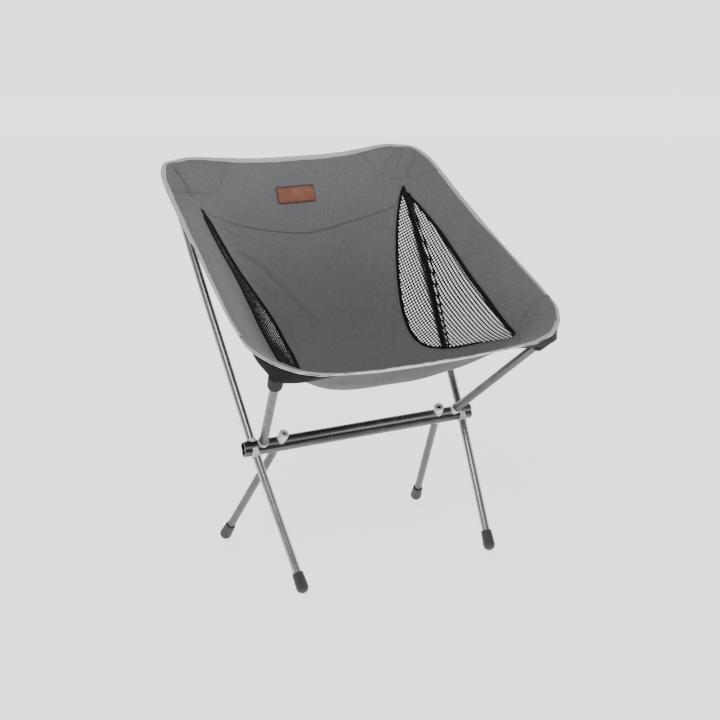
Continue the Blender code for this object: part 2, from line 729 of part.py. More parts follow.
def build():
    """The whole chair."""
    start()
    axes = pole_axes()
    crossbar(axes)
    ground = ground_cutter()
    for side, label in SIDES:
        bushings(axes, label)
        leg("front_leg_" + label, axes["front_leg", label], UPRIGHT_POINT, FRONT_LEG_SLOPE,
            MAIN_TUBE_RADIUS, "polished", FRONT_LEG_TOP, ground)
        leg("rear_leg_" + label, axes["rear_leg", label], REAR_LEG_POINT, REAR_LEG_SLOPE,
            LEG_TUBE_RADIUS, "satin", REAR_LEG_TOP, ground)
        uprights(axes, label)
        shock_cords(axes, label)
    sling_cloth()
    sling_trim()
    for obj in PARTS.objects:
        if obj.type == "MESH":
            smooth(obj)


build()
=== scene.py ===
"""Looks of the backpacking chair: cloth, mesh, binding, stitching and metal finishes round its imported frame."""
import json
import math

import bpy
import numpy as np
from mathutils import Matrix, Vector


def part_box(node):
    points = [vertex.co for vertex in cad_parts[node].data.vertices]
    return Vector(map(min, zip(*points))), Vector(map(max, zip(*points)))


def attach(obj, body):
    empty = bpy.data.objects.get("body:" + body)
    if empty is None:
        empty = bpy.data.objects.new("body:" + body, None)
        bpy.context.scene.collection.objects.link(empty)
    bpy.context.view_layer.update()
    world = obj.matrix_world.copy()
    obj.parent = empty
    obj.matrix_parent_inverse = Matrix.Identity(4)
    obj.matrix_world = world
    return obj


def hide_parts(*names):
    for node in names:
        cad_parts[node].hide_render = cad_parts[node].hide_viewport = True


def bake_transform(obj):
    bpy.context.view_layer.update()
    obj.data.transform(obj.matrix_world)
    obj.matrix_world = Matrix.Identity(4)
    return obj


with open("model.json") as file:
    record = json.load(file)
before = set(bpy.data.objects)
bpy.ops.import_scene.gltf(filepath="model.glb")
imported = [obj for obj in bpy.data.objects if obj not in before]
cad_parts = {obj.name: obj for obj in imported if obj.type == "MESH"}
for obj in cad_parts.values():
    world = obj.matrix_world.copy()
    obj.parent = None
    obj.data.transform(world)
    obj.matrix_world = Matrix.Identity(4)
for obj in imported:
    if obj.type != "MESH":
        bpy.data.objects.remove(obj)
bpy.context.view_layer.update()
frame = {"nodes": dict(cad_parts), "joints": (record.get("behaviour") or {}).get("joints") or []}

MM = 0.001
SIDES = ((-1, "left"), (1, "right"))
ROOT = "bar_and_sling"
CAMERA_PLACE = (-1.1262, -2.0393, 0.9733)
CAMERA_AIM = (0.4687, 0.842, -0.2672)
CAMERA_LENS = 71.35
CENTRE = (0, 0, 0.35)


# ---------------------------------------------------------------- camera, light and floor

def look(obj, direction):
    obj.rotation_mode = "QUATERNION"
    obj.rotation_quaternion = Vector(direction).to_track_quat("-Z", "Y")


def make_camera():
    data = bpy.data.cameras.new("camera")
    data.sensor_width = 36
    data.lens = CAMERA_LENS
    data.clip_end = 50
    camera = bpy.data.objects.new("camera", data)
    bpy.context.scene.collection.objects.link(camera)
    camera.location = CAMERA_PLACE
    look(camera, CAMERA_AIM)
    bpy.context.scene.camera = camera


def area_light(name, location, size, power):
    data = bpy.data.lights.new(name, "AREA")
    data.shape = "RECTANGLE"
    data.size, data.size_y = size
    data.energy = power
    light = bpy.data.objects.new(name, data)
    bpy.context.scene.collection.objects.link(light)
    light.location = location
    look(light, Vector(CENTRE) - Vector(location))


def make_stage():
    world = bpy.data.worlds.new("studio")
    bpy.context.scene.world = world
    world.use_nodes = True
    world.node_tree.nodes["Background"].inputs["Color"].default_value = (0.93, 0.94, 0.95, 1)
    world.node_tree.nodes["Background"].inputs["Strength"].default_value = 0.38
    area_light("key", (-1.3, -1.6, 2.4), (1.4, 1.0), 30)
    area_light("side", (2.4, -0.6, 1.5), (0.9, 1.6), 8)
    area_light("back", (0.4, 2.6, 2.2), (1.8, 0.8), 16)
    front, half_width, depth, height, bend = -80.0, 60.0, 9.0, 7.0, 1.5
    outline = [(front, 0.0), (depth - bend, 0.0)]
    outline += [(depth - bend + bend * math.sin(t), bend - bend * math.cos(t))
                for t in (math.radians(15 * i) for i in range(1, 7))]
    outline.append((depth, height))
    points = [(x, y, z) for y, z in outline for x in (-half_width, half_width)]
    faces = [(2 * i, 2 * i + 1, 2 * i + 3, 2 * i + 2) for i in range(len(outline) - 1)]
    mesh = bpy.data.meshes.new("floor")
    mesh.from_pydata(points, [], faces)
    mesh.shade_smooth()
    floor = bpy.data.objects.new("floor", mesh)
    bpy.context.scene.collection.objects.link(floor)
    floor.rotation_euler.z = math.radians(-29)
    paper = Shader("studio_paper")
    grain = paper.noise(paper.coords("Object"), 30, detail=3)
    paper.colour(paper.ramp(grain, ((0.3, (0.66, 0.66, 0.66)), (0.7, (0.68, 0.68, 0.68)))))
    paper.set("Roughness", 0.9)
    paper.set("Emission Color", (1, 1, 1, 1))
    paper.set("Emission Strength", 1.6)
    mesh.materials.append(paper.material)


# ---------------------------------------------------------------- materials

class Shader:
    """A material with a Principled shader, and short names for the nodes that feed it."""

    def __init__(self, name):
        self.material = bpy.data.materials.new(name)
        self.material.use_nodes = True
        self.tree = self.material.node_tree
        self.shader = self.tree.nodes["Principled BSDF"]

    def node(self, kind, **settings):
        made = self.tree.nodes.new(kind)
        for key, value in settings.items():
            setattr(made, key, value)
        return made

    def join(self, source, target):
        self.tree.links.new(source, target)

    def set(self, socket, value):
        self.shader.inputs[socket].default_value = value

    def coords(self, kind, scale=(1, 1, 1), turn=None):
        out = self.node("ShaderNodeTexCoord").outputs[kind]
        mapping = self.node("ShaderNodeMapping")
        mapping.inputs["Scale"].default_value = scale
        if turn is not None:
            mapping.inputs["Rotation"].default_value = turn
        self.join(out, mapping.inputs["Vector"])
        return mapping.outputs["Vector"]

    def noise(self, vector, scale, detail=2.0, rough=0.5):
        made = self.node("ShaderNodeTexNoise")
        made.inputs["Scale"].default_value = scale
        made.inputs["Detail"].default_value = detail
        made.inputs["Roughness"].default_value = rough
        self.join(vector, made.inputs["Vector"])
        return made.outputs["Fac"]

    def wave(self, vector, scale, direction, distortion=0.0):
        made = self.node("ShaderNodeTexWave", wave_type="BANDS", bands_direction=direction)
        made.inputs["Scale"].default_value = scale
        made.inputs["Distortion"].default_value = distortion
        self.join(vector, made.inputs["Vector"])
        return made.outputs["Fac"]

    def cells(self, vector, scale):
        made = self.node("ShaderNodeTexVoronoi", feature="F1")
        made.inputs["Scale"].default_value = scale
        self.join(vector, made.inputs["Vector"])
        return made.outputs["Distance"]

    def ramp(self, value, stops):
        made = self.node("ShaderNodeValToRGB")
        while len(made.color_ramp.elements) < len(stops):
            made.color_ramp.elements.new(0.5)
        for element, (at, colour) in zip(made.color_ramp.elements, stops):
            element.position = at
            element.color = (*colour, 1)
        self.join(value, made.inputs["Fac"])
        return made.outputs["Color"]

    def grey(self, value, low, high, start=0.0, end=1.0):
        made = self.node("ShaderNodeMapRange")
        for socket, number in (("From Min", start), ("From Max", end), ("To Min", low), ("To Max", high)):
            made.inputs[socket].default_value = number
        self.join(value, made.inputs["Value"])
        return made.outputs["Result"]

    def maths(self, operation, first, second):
        made = self.node("ShaderNodeMath", operation=operation)
        for i, value in enumerate((first, second)):
            if isinstance(value, (int, float)):
                made.inputs[i].default_value = value
            else:
                self.join(value, made.inputs[i])
        return made.outputs[0]

    def mix(self, share, first, second):
        made = self.node("ShaderNodeMix", data_type="RGBA")
        for socket, value in ((made.inputs[0], share), (made.inputs[6], first), (made.inputs[7], second)):
            if isinstance(value, (int, float)):
                socket.default_value = value
            elif isinstance(value, tuple):
                socket.default_value = (*value, 1)
            else:
                self.join(value, socket)
        return made.outputs[2]

    def attribute(self, name):
        return self.node("ShaderNodeAttribute", attribute_name=name).outputs["Fac"]

    def colour(self, socket):
        self.join(socket, self.shader.inputs["Base Color"])

    def rough(self, socket):
        self.join(socket, self.shader.inputs["Roughness"])

    def bump(self, height, distance, strength=1.0):
        made = self.node("ShaderNodeBump")
        made.inputs["Strength"].default_value = strength
        made.inputs["Distance"].default_value = distance
        self.join(height, made.inputs["Height"])
        previous = self.shader.inputs["Normal"].links
        if previous:
            self.join(previous[0].from_socket, made.inputs["Normal"])
        self.join(made.outputs["Normal"], self.shader.inputs["Normal"])


def melange(name, dark, light):
    """Grey woven polyester: two yarn colours, slubs along the warp, and a plain weave."""
    s = Shader(name)
    metres = s.coords("UV")
    yarn = s.noise(s.coords("UV", (1400, 110, 1)), 1, detail=2, rough=0.6)
    weft = s.noise(s.coords("UV", (70, 1300, 1)), 1, detail=1)
    slub = s.noise(s.coords("UV", (620, 34, 1)), 1, detail=3, rough=0.7)
    cloud = s.noise(metres, 9, detail=3)
    mixed = s.maths("ADD", s.maths("MULTIPLY", yarn, 0.42), s.maths("MULTIPLY", slub, 0.30))
    mixed = s.maths("ADD", mixed, s.maths("MULTIPLY", weft, 0.22))
    mixed = s.maths("ADD", mixed, s.maths("MULTIPLY", cloud, 0.10))
    s.colour(s.ramp(mixed, ((0.40, dark), (0.64, light))))
    s.rough(s.grey(yarn, 0.78, 0.92))
    s.set("Sheen Weight", 0.12)
    s.set("Sheen Roughness", 0.5)
    s.set("Specular IOR Level", 0.35)
    weave = s.maths("MULTIPLY", s.wave(metres, 330, "X"), s.wave(metres, 330, "Y"))
    s.bump(weave, 0.00012, 0.5)
    s.bump(s.noise(metres, 60, detail=3), 0.0009, 0.35)
    return s.material


def black_textile(name, colour, rib=900):
    s = Shader(name)
    metres = s.coords("UV")
    fibre = s.noise(s.coords("Object", (900, 900, 900)), 1, detail=2)
    lighter = tuple(c * 1.8 + 0.002 for c in colour)
    s.colour(s.ramp(fibre, ((0.35, colour), (0.75, lighter))))
    s.rough(s.grey(fibre, 0.7, 0.92))
    s.set("Sheen Weight", 0.04)
    s.set("Specular IOR Level", 0.15)
    s.bump(s.wave(metres, rib, "Y"), 0.00015, 0.6)
    return s.material


def binding_tape(name):
    s = Shader(name)
    metres = s.coords("UV")
    ribs = s.wave(metres, 330, "X", 0.4)
    cloud = s.noise(metres, 45, detail=3)
    fibre = s.noise(s.coords("UV", (260, 900, 1)), 1, detail=2)
    base = s.ramp(s.maths("ADD", s.maths("MULTIPLY", cloud, 0.5), s.maths("MULTIPLY", fibre, 0.5)),
                  ((0.35, (0.62, 0.60, 0.57)), (0.65, (0.76, 0.74, 0.71))))
    s.colour(s.mix(s.grey(ribs, 0.0, 0.28), base, (0.52, 0.50, 0.48)))
    s.rough(s.grey(fibre, 0.75, 0.9))
    s.set("Sheen Weight", 0.15)
    s.bump(ribs, 0.00025, 0.7)
    s.bump(cloud, 0.001, 0.3)
    return s.material


def leather(name):
    s = Shader(name)
    grain = s.cells(s.coords("Object", (900, 900, 900)), 1)
    cloud = s.noise(s.coords("Object"), 60, detail=4, rough=0.6)
    edge = s.attribute("edge")
    base = s.ramp(cloud, ((0.30, (0.21, 0.080, 0.048)), (0.55, (0.28, 0.110, 0.068)),
                          (0.75, (0.34, 0.145, 0.092))))
    s.colour(s.mix(s.grey(edge, 0.0, 0.75), base, (0.09, 0.035, 0.022)))
    s.rough(s.grey(cloud, 0.48, 0.68))
    s.bump(grain, 0.0003, 0.5)
    s.bump(cloud, 0.0006, 0.3)
    return s.material


def thread(name, colour):
    s = Shader(name)
    twist = s.noise(s.coords("Object", (1500, 1500, 1500)), 1, detail=1)
    s.colour(s.ramp(twist, ((0.3, tuple(c * 0.7 for c in colour)), (0.7, colour))))
    s.set("Roughness", 0.7)
    s.set("Sheen Weight", 0.2)
    return s.material


def drawn_tube(name, axis, dark, light, gloss, streaks):
    """Anodised tube: streaks drawn along its axis, faint handling marks across it."""
    s = Shader(name)
    turn = Vector(axis).rotation_difference(Vector((0, 0, 1))).to_euler()
    along = s.coords("Object", (1, 1, 1), turn)
    stretch = s.node("ShaderNodeMapping")
    stretch.inputs["Scale"].default_value = (streaks, streaks, 3)
    s.join(along, stretch.inputs["Vector"])
    lines = s.noise(stretch.outputs["Vector"], 1, detail=3, rough=0.65)
    wear = s.noise(s.coords("Object"), 55, detail=4)
    tone = s.ramp(lines, ((0.36, dark), (0.66, light)))
    s.colour(s.mix(s.grey(wear, 0.0, 0.12, 0.45, 0.8), tone, tuple(c * 0.6 for c in dark)))
    s.rough(s.grey(wear, gloss * 0.8, gloss * 1.35, 0.3, 0.7))
    s.set("Metallic", 1.0)
    s.bump(lines, 0.00004, 0.15)
    return s.material


def bar_metal(name):
    """Black anodised extrusion, with die lines along X and lighter worn patches at random."""
    s = Shader(name)
    lines = s.noise(s.coords("Object", (4, 700, 700)), 1, detail=2)
    wear = s.noise(s.coords("Object"), 70, detail=4)
    tone = s.ramp(lines, ((0.35, (0.045, 0.045, 0.048)), (0.70, (0.16, 0.16, 0.165))))
    s.colour(s.mix(s.grey(wear, 0.0, 0.35, 0.55, 0.8), tone, (0.24, 0.24, 0.24)))
    s.rough(s.grey(wear, 0.24, 0.42, 0.3, 0.7))
    s.set("Metallic", 1.0)
    s.bump(lines, 0.0001, 0.3)
    return s.material


def moulded(name, dark, light, roughness, grain):
    s = Shader(name)
    speck = s.noise(s.coords("Object"), grain, detail=4, rough=0.6)
    scuff = s.noise(s.coords("Object"), 90, detail=3)
    s.colour(s.ramp(s.maths("MULTIPLY", s.maths("ADD", speck, scuff), 0.5), ((0.35, dark), (0.65, light))))
    s.rough(s.grey(scuff, roughness * 0.85, min(1.0, roughness * 1.15)))
    s.bump(speck, 0.0003, 0.3)
    return s.material


def braid(name):
    s = Shader(name)
    strands = s.wave(s.coords("Object"), 260, "DIAGONAL", 1.0)
    s.colour(s.ramp(strands, ((0.2, (0.012, 0.012, 0.013)), (0.8, (0.05, 0.05, 0.055)))))
    s.set("Roughness", 0.85)
    s.bump(strands, 0.0003, 0.6)
    return s.material


# ---------------------------------------------------------------- the sling's surface

def smooth_curve(stations, values):
    """A monotone cubic through the given values, for an array of places."""
    x = np.array(stations, float)
    y = np.array(values, float).reshape(len(x), -1)
    step = np.diff(x)
    slope = np.diff(y, axis=0) / step[:, None]
    tangent = np.zeros_like(y)
    tangent[0], tangent[-1] = slope[0], slope[-1]
    for i in range(1, len(x) - 1):
        w1, w2 = 2 * step[i] + step[i - 1], step[i] + 2 * step[i - 1]
        for k in range(y.shape[1]):
            if slope[i - 1, k] * slope[i, k] > 0:
                tangent[i, k] = (w1 + w2) / (w1 / slope[i - 1, k] + w2 / slope[i, k])

    def value(at):
        at = np.asarray(at, float)
        i = np.clip(np.searchsorted(x, at) - 1, 0, len(step) - 1)
        h = step[i][..., None]
        t = ((at - x[i]) / step[i])[..., None]
        return ((1 + 2 * t) * (1 - t) ** 2 * y[i] + t * (1 - t) ** 2 * h * tangent[i]
                + t * t * (3 - 2 * t) * y[i + 1] + t * t * (t - 1) * h * tangent[i + 1])
    return value


RIM = smooth_curve((0, .03, .09, .25, .42, .58, .75, .86, .94, .98, 1), (
    (.200, .238, .655), (.244, .225, .650), (.264, .186, .628), (.270, .109, .581),
    (.274, .025, .534), (.279, -.050, .493), (.284, -.132, .451), (.283, -.175, .430),
    (.264, -.215, .412), (.232, -.241, .398), (.195, -.250, .389)))
SPINE = smooth_curve((0, .13, .25, .42, .58, .75, .90, 1), (
    (.216, .648), (.188, .580), (.164, .505), (.117, .400),
    (.050, .325), (-.050, .300), (-.150, .328), (-.211, .372)))
# Seams of the mesh and its tape on each side, as (b, a) pairs.
INNER = {1: ((.155, .700), (.228, .620), (.312, .555), (.430, .490), (.525, .455), (.610, .440),
             (.652, .450), (.720, .520), (.792, .620), (.860, .690), (.900, .745)),
         -1: ((.195, .800), (.240, .755), (.302, .700), (.365, .625), (.408, .530), (.450, .440), (.500, .375),
              (.575, .345), (.650, .370), (.730, .460), (.800, .570), (.860, .670), (.900, .745))}
OUTER = {1: ((.155, .700), (.250, .755), (.400, .785), (.625, .787), (.748, .780), (.860, .762), (.900, .745)),
         -1: ((.195, .802), (.260, .790), (.335, .762), (.400, .715), (.480, .668), (.550, .625), (.630, .605),
              (.700, .612), (.780, .660), (.850, .715), (.900, .747))}
TAPE = {1: ((.162, .703), (.262, .685), (.408, .660), (.542, .615), (.700, .530), (.715, .520)),
        -1: ((.205, .797), (.270, .778), (.345, .742), (.410, .690), (.490, .628), (.560, .580), (.640, .560),
             (.705, .565))}
# Each corner patch: its half axes along a and b, and the power of its curved edge.
REAR_CORNER = (0.44, 0.14, 3.5)
FRONT_CORNER = (0.26, 0.19, 2.6)
APEX = {1: (0.155, 0.700), -1: (0.195, 0.801)}
TOE_B, TOE_A = 0.900, 0.746
REAR_SEAM_END = 0.128
YOKE_SHARE = 0.63
ACROSS_M, ALONG_M = 0.27, 0.78  # metres of cloth in one unit of a and of b, nearly


def seam(points):
    curve = smooth_curve(*zip(*points))
    return lambda b: curve(b)[..., 0]


inner_seam = {side: seam(INNER[side]) for side, _ in SIDES}
outer_seam = {side: seam(OUTER[side]) for side, _ in SIDES}
tape_seam = {side: seam(TAPE[side]) for side, _ in SIDES}


def smoothstep(x):
    x = np.clip(x, 0, 1)
    return x * x * (3 - 2 * x)


def sling(a, b):
    """Points of the sling at a (across, -1 to 1) and b (0 at the top rim, 1 at the front rim)."""
    a, b = np.broadcast_arrays(np.asarray(a, float), np.asarray(b, float))
    rim, spine = RIM(b), SPINE(b)
    power = 3.3 - 0.3 * np.minimum(b / 0.4, 1)
    sag = np.maximum(0, 1 - np.abs(a) ** power) ** (2.2 - 0.6 * smoothstep((b - 0.45) / 0.5))
    return np.stack([rim[..., 0] * a, rim[..., 1] + (spine[..., 0] - rim[..., 1]) * sag,
                     rim[..., 2] + (spine[..., 1] - rim[..., 2]) * sag], -1)


def normals(a, b):
    """The sling's normals on the sitter's side."""
    e = 0.004
    a, b = np.clip(a, -1 + e, 1 - e), np.clip(b, e, 1 - e)
    n = np.cross(sling(a, b + e) - sling(a, b - e), sling(a + e, b) - sling(a - e, b))
    return n / np.linalg.norm(n, axis=-1, keepdims=True)


def unit(v):
    return v / np.maximum(np.linalg.norm(v, axis=-1, keepdims=True), 1e-12)


def lengths_along(path):
    """How far along a path each of its points lies."""
    return np.concatenate([[0], np.cumsum(np.linalg.norm(np.diff(path, axis=0), axis=1))])


# Creases: places (a, b) along each, height in mm, width in mm, and the sides they are on.
BOTH, LEFT, RIGHT = (-1, 1), (-1,), (1,)
CREASES = (
    (((.60, .215), (.45, .33), (.30, .52)), 1.8, 12, RIGHT),
    (((.56, .33), (.42, .48), (.27, .66)), -2.0, 13, RIGHT),
    (((.50, .45), (.36, .60), (.22, .76)), 1.2, 13, RIGHT),
    (((.65, .248), (.525, .252), (.39, .262)), -2.6, 6, LEFT),
    (((.605, .302), (.48, .305), (.36, .330), (.15, .425), (.065, .482), (-.015, .56)), -5.0, 8, LEFT),
    (((.57, .345), (.45, .350), (.33, .375), (.20, .43)), 2.2, 11, LEFT),
    (((.55, .375), (.46, .382), (.345, .412), (.24, .470)), -2.4, 10, LEFT),
    (((.935, .038), (.86, .080), (.84, .140), (.808, .180)), -5.0, 5, LEFT),
    (((.95, .045), (.80, .100), (.72, .150)), -2.6, 6, RIGHT),
    (((.93, .030), (.76, .080), (.66, .118)), 1.6, 5, BOTH),
    (((.90, .020), (.72, .050), (.60, .070)), -1.6, 6, BOTH),
    (((.88, .010), (.72, .020), (.58, .028)), 1.3, 8, BOTH),
    (((.96, .080), (.84, .115), (.76, .130)), 0.7, 6, RIGHT),
    (((.98, .93), (.90, .88), (.84, .83)), -1.0, 6, BOTH),
    (((.93, .825), (.835, .855), (.745, .885)), -2.6, 7, RIGHT),
    (((.95, .97), (.86, .93), (.79, .89)), 0.9, 7, BOTH),
    (((.90, .99), (.80, .96), (.72, .93)), -0.8, 7, BOTH),
)


def near_line(points, line):
    """Distance of each point from a polyline, and how far along it that is, 0 to 1."""
    best = np.full(len(points), 9.0)
    where = np.zeros(len(points))
    count = len(line) - 1
    for i in range(count):
        d = line[i + 1] - line[i]
        t = np.clip((points - line[i]) @ d / (d @ d), 0, 1)
        far = np.linalg.norm(points - line[i] - t[:, None] * d, axis=1)
        closer = far < best
        best[closer] = far[closer]
        where[closer] = (i + t[closer]) / count
    return best, where


def crease_height(points):
    """Height of the creases at points of the sling, along its normal."""
    height = np.zeros(len(points))
    for places, tall, wide, sides in CREASES:
        t = np.linspace(0, 1, 9)
        track = smooth_curve(np.linspace(0, 1, len(places)), places)(t)
        for side in sides:
            line = sling(track[:, 0] * side, track[:, 1])
            far, where = near_line(points, line)
            ends = smoothstep(where / 0.14) * smoothstep((1 - where) / 0.4)
            height += tall * MM * ends * np.exp(-(far / (wide * MM / 1.7)) ** 2)
    return height


def ripple(a, b):
    """Slow unevenness of sewn cloth."""
    return 0.0009 * (np.sin(9.1 * a + 4 * b + 0.6) * np.sin(13.7 * b + 2.2 * a + 1.1)
                     + 0.5 * np.sin(23 * a - 9 * b) * np.sin(17 * b + 1.9))


def cloth_points(a, b, lift=0.0):
    """Places on the finished cloth: the surface, its creases and its unevenness."""
    shape = np.shape(a)
    a, b = np.ravel(a), np.ravel(b)
    points = sling(a, b)
    calm = smoothstep((1 - np.abs(a)) / 0.06) * smoothstep(np.minimum(b, 1 - b) / 0.05)
    height = (crease_height(points) + ripple(a, b)) * calm + np.ravel(np.broadcast_to(lift, shape))
    return (points + normals(a, b) * height[:, None]).reshape(*shape, 3)


# ---------------------------------------------------------------- mesh building

def new_object(name, points, faces, material):
    mesh = bpy.data.meshes.new(name)
    mesh.from_pydata([tuple(p) for p in points], [], faces)
    mesh.materials.append(material)
    mesh.shade_smooth()
    obj = bpy.data.objects.new(name, mesh)
    bpy.context.scene.collection.objects.link(obj)
    return obj


def set_uv(obj, uv):
    """One (u, v) in metres for each vertex."""
    layer = obj.data.uv_layers.new(name="metres")
    loops = np.zeros(len(obj.data.loops), np.int32)
    obj.data.loops.foreach_get("vertex_index", loops)
    layer.data.foreach_set("uv", np.asarray(uv, np.float32)[loops].ravel())


def grid_faces(rows, columns, flip=False):
    faces = []
    for i in range(rows - 1):
        for j in range(columns - 1):
            k = i * columns + j
            face = (k, k + 1, k + columns + 1, k + columns)
            faces.append(face[::-1] if flip else face)
    return faces


def applied(obj):
    """Bake an object's modifiers into its mesh."""
    bpy.context.view_layer.update()
    graph = bpy.context.evaluated_depsgraph_get()
    mesh = bpy.data.meshes.new_from_object(obj.evaluated_get(graph))
    obj.modifiers.clear()
    obj.data = mesh
    return obj


def thicken(obj, thickness, offset=0.0):
    shell = obj.modifiers.new("cloth", "SOLIDIFY")
    shell.thickness = thickness
    shell.offset = offset
    shell.use_even_offset = False
    shell.material_offset = len(obj.data.materials) - 1
    return applied(obj)


def warp_uv(a, b):
    """Metres across and along the cloth, for its weave."""
    return np.stack([np.ravel(a) * ACROSS_M, np.ravel(b) * ALONG_M], 1)


def panel(name, a, b, material, edges, lift=0.0, thickness=0.8 * MM, flip=False, underside=None):
    """A panel on a grid of places. edges says which sides go over or under their neighbours."""
    points = cloth_points(a, b, lift)
    n = normals(a, b)
    rows, columns = a.shape
    tilt = np.zeros_like(a)
    ring = 3
    for edge, how in edges.items():
        for k in range(ring):
            band = {"top": np.s_[k, :], "bottom": np.s_[rows - 1 - k, :],
                    "start": np.s_[:, k], "end": np.s_[:, columns - 1 - k]}[edge]
            tilt[band] = (0.12 if how == "over" else -0.32) * MM * (1 - k / ring)
        reach = (1.2 if how == "over" else 4.0) * MM
        last, before = {"top": (np.s_[0, :], np.s_[1, :]), "bottom": (np.s_[-1, :], np.s_[-2, :]),
                        "start": (np.s_[:, 0], np.s_[:, 1]), "end": (np.s_[:, -1], np.s_[:, -2])}[edge]
        points[last] = points[last] + unit(points[last] - points[before]) * reach
    points = points + n * tilt[..., None]
    obj = new_object(name, points.reshape(-1, 3), grid_faces(rows, columns, flip), underside or material)
    set_uv(obj, warp_uv(a, b))
    if underside:
        obj.data.materials.append(material)
    return thicken(obj, thickness)


def yoke(a):
    return 0.228 - 0.018 * np.minimum(np.abs(a) / 0.35, 1)


def rear_corner_width(b):
    half_a, half_b, power = REAR_CORNER
    return 1 - half_a * np.maximum(0, 1 - (b / half_b) ** power) ** (1 / power)


def front_corner_width(b):
    half_a, half_b, power = FRONT_CORNER
    return 1 - half_a * np.maximum(0, 1 - ((1 - b) / half_b) ** power) ** (1 / power)


def corner_height(corner, a):
    half_a, half_b, power = corner
    return half_b * np.maximum(0, 1 - ((1 - a) / half_a) ** power) ** (1 / power)


def joined_edge(side, b, curve):
    """A seam that leaves the rear corner's patch, runs to the mesh's apex and then follows its edge."""
    joined = rear_corner_width(REAR_SEAM_END)
    apex_b, apex_a = APEX[side]
    bridge = joined + (apex_a - joined) * (b - REAR_SEAM_END) / (apex_b - REAR_SEAM_END)
    return np.where(b <= apex_b, bridge, curve[side](np.clip(b, apex_b, TOE_B)))


def back_edge(side, b):
    at_patch = rear_corner_width(np.minimum(b, REAR_SEAM_END))
    return np.where(b <= REAR_SEAM_END, at_patch, joined_edge(side, b, inner_seam))


def seat_edge(side, b):
    end = front_corner_width(1.0)
    past_toe = TOE_A + (end - TOE_A) * (b - TOE_B) / (1 - TOE_B)
    return np.where(b <= TOE_B, joined_edge(side, b, inner_seam), past_toe)


def span(width_at, low, high, rows, columns):
    """A grid across the sling between two seams given as functions of a share across."""
    s = np.linspace(-1, 1, columns)[None, :]
    t = np.linspace(0, 1, rows)[:, None]
    b = low(s) + (high(s) - low(s)) * t
    return s * np.where(s < 0, width_at(-1, b), width_at(1, b)), b


def strip(side, inner, outer, low, high, rows, columns):
    b = np.linspace(low, high, rows)[:, None] + np.zeros((1, columns))
    t = np.linspace(0, 1, columns)[None, :]
    return side * (inner(b) + (outer(b) - inner(b)) * t), b


def side_places(side, rows, columns):
    t = np.linspace(0, 1, rows)[:, None]
    p = np.linspace(0, 1, columns)[None, :]
    high_seam = 1 - corner_height(FRONT_CORNER, TOE_A)
    inner = joined_edge(side, REAR_SEAM_END + (high_seam - REAR_SEAM_END) * t, outer_seam)
    joined = rear_corner_width(REAR_SEAM_END)
    top = corner_height(REAR_CORNER, joined + (1 - joined) * p)
    low = 1 - corner_height(FRONT_CORNER, TOE_A + (1 - TOE_A) * p)
    return side * (inner + (1 - inner) * p), top + (low - top) * t


def corner_places(side, corner, at_front, count):
    half_a, half_b, power = corner
    p = np.linspace(0, 1, count)[:, None] + np.zeros((1, count))
    q = p.T
    reach = np.maximum(p, q)
    scale = np.where(reach > 0, reach / np.maximum(p ** power + q ** power, 1e-12) ** (1 / power), 0)
    a, b = 1 - half_a * p * scale, half_b * q * scale
    return side * a, (1 - b if at_front else b)


# ---------------------------------------------------------------- sewn pieces

def swept(name, path, across, up, outline, material):
    """A section carried along a path, closed at its ends. outline holds (across, up) pairs in metres."""
    count = len(outline)
    points = [p + across[i] * x + up[i] * y for i, p in enumerate(path) for x, y in outline]
    faces = []
    for i in range(len(path) - 1):
        for j in range(count):
            k = (j + 1) % count
            faces.append((i * count + j, i * count + k, (i + 1) * count + k, (i + 1) * count + j))
    faces.append(tuple(range(count))[::-1])
    faces.append(tuple((len(path) - 1) * count + j for j in range(count)))
    obj = new_object(name, points, faces, material)
    far = lengths_along(path)
    round_it = np.concatenate([[0], np.cumsum([math.dist(outline[j], outline[j - 1]) for j in range(1, count)])])
    set_uv(obj, [(far[i], round_it[j]) for i in range(len(path)) for j in range(count)])
    return obj


def across_path(path, up):
    """The directions across a path, for its given ups."""
    return unit(np.cross(up, unit(np.gradient(path, axis=0))))


def stitches(name, path, up, material, pitch=3.6 * MM, length=2.6 * MM, radius=0.22 * MM):
    """A row of stitches along a path, each a small raised loop of thread."""
    far = lengths_along(path)
    starts = np.arange(pitch / 2, far[-1] - length, pitch)
    points, faces = [], []
    shares = np.array([0.0, 0.3, 0.7, 1.0])
    lifts = np.array([-0.2, 0.55, 0.55, -0.2]) * MM
    for start in starts:
        at = start + shares * length
        p = np.stack([np.interp(at, far, path[:, k]) for k in range(3)], 1)
        u = unit(np.stack([np.interp(at, far, up[:, k]) for k in range(3)], 1))
        p = p + u * lifts[:, None]
        side = unit(np.cross(u, unit(p[-1] - p[0])))
        base = len(points)
        for i in range(4):
            for x, y in ((1, 0), (0, 1), (-1, 0), (0, -1)):
                points.append(p[i] + side[i] * x * radius + u[i] * y * radius * 0.8)
        for i in range(3):
            for j in range(4):
                k = (j + 1) % 4
                faces.append((base + i * 4 + j, base + i * 4 + k, base + i * 4 + 4 + k, base + i * 4 + 4 + j))
        faces.append((base + 3, base + 2, base + 1, base))
        faces.append((base + 12, base + 13, base + 14, base + 15))
    return new_object(name, points, faces, material)


def seam_line(name, a, b, material, offset=0.0, lift=0.6 * MM, **settings):
    """Stitches beside a seam given by places, offset along the cloth to one side."""
    path = cloth_points(a, b)
    up = normals(a, b)
    return stitches(name, path + across_path(path, up) * offset + up * lift, up, material, **settings)


def even(a, b, step=2.5 * MM):
    """The same track of places with an even spacing in metres."""
    a, b = np.asarray(a, float), np.asarray(b, float)
    p = sling(a, b)
    far = lengths_along(p)
    at = np.linspace(0, far[-1], max(3, int(far[-1] / step)))
    return np.interp(at, far, a), np.interp(at, far, b)


